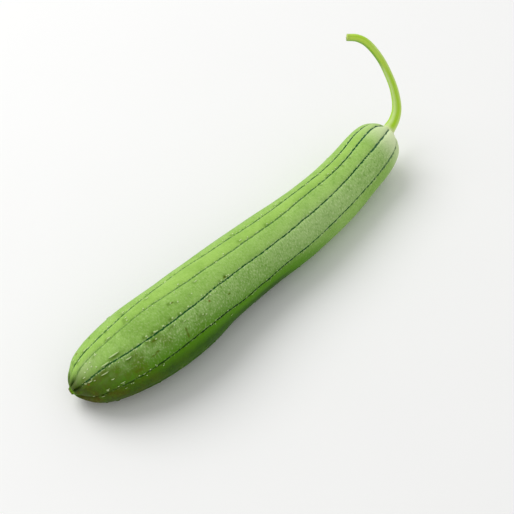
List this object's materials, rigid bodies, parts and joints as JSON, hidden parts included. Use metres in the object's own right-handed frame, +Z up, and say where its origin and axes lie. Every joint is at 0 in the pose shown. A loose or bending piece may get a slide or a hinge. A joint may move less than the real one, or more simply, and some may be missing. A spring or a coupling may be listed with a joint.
{
  "type": "ridge gourd",
  "caption": "Long green gourd lying on its side, blunt at the blossom end, with fine dark furrows along it, small raised streaks and a bent ridged stem.",
  "frame": {"origin": "on the surface that the gourd lies on, under the middle of its bounding box", "axes": "+X along the fruit from the blossom end to the stem end, +Z up, the fruit bows towards -Y"},
  "size_m": [0.3444, 0.0906, 0.0928],
  "materials": {
    "skin": null,
    "stem": null
  },
  "bodies": {
    "root": {"fruit": "skin", "stem": "stem"}
  },
  "joints": []
}
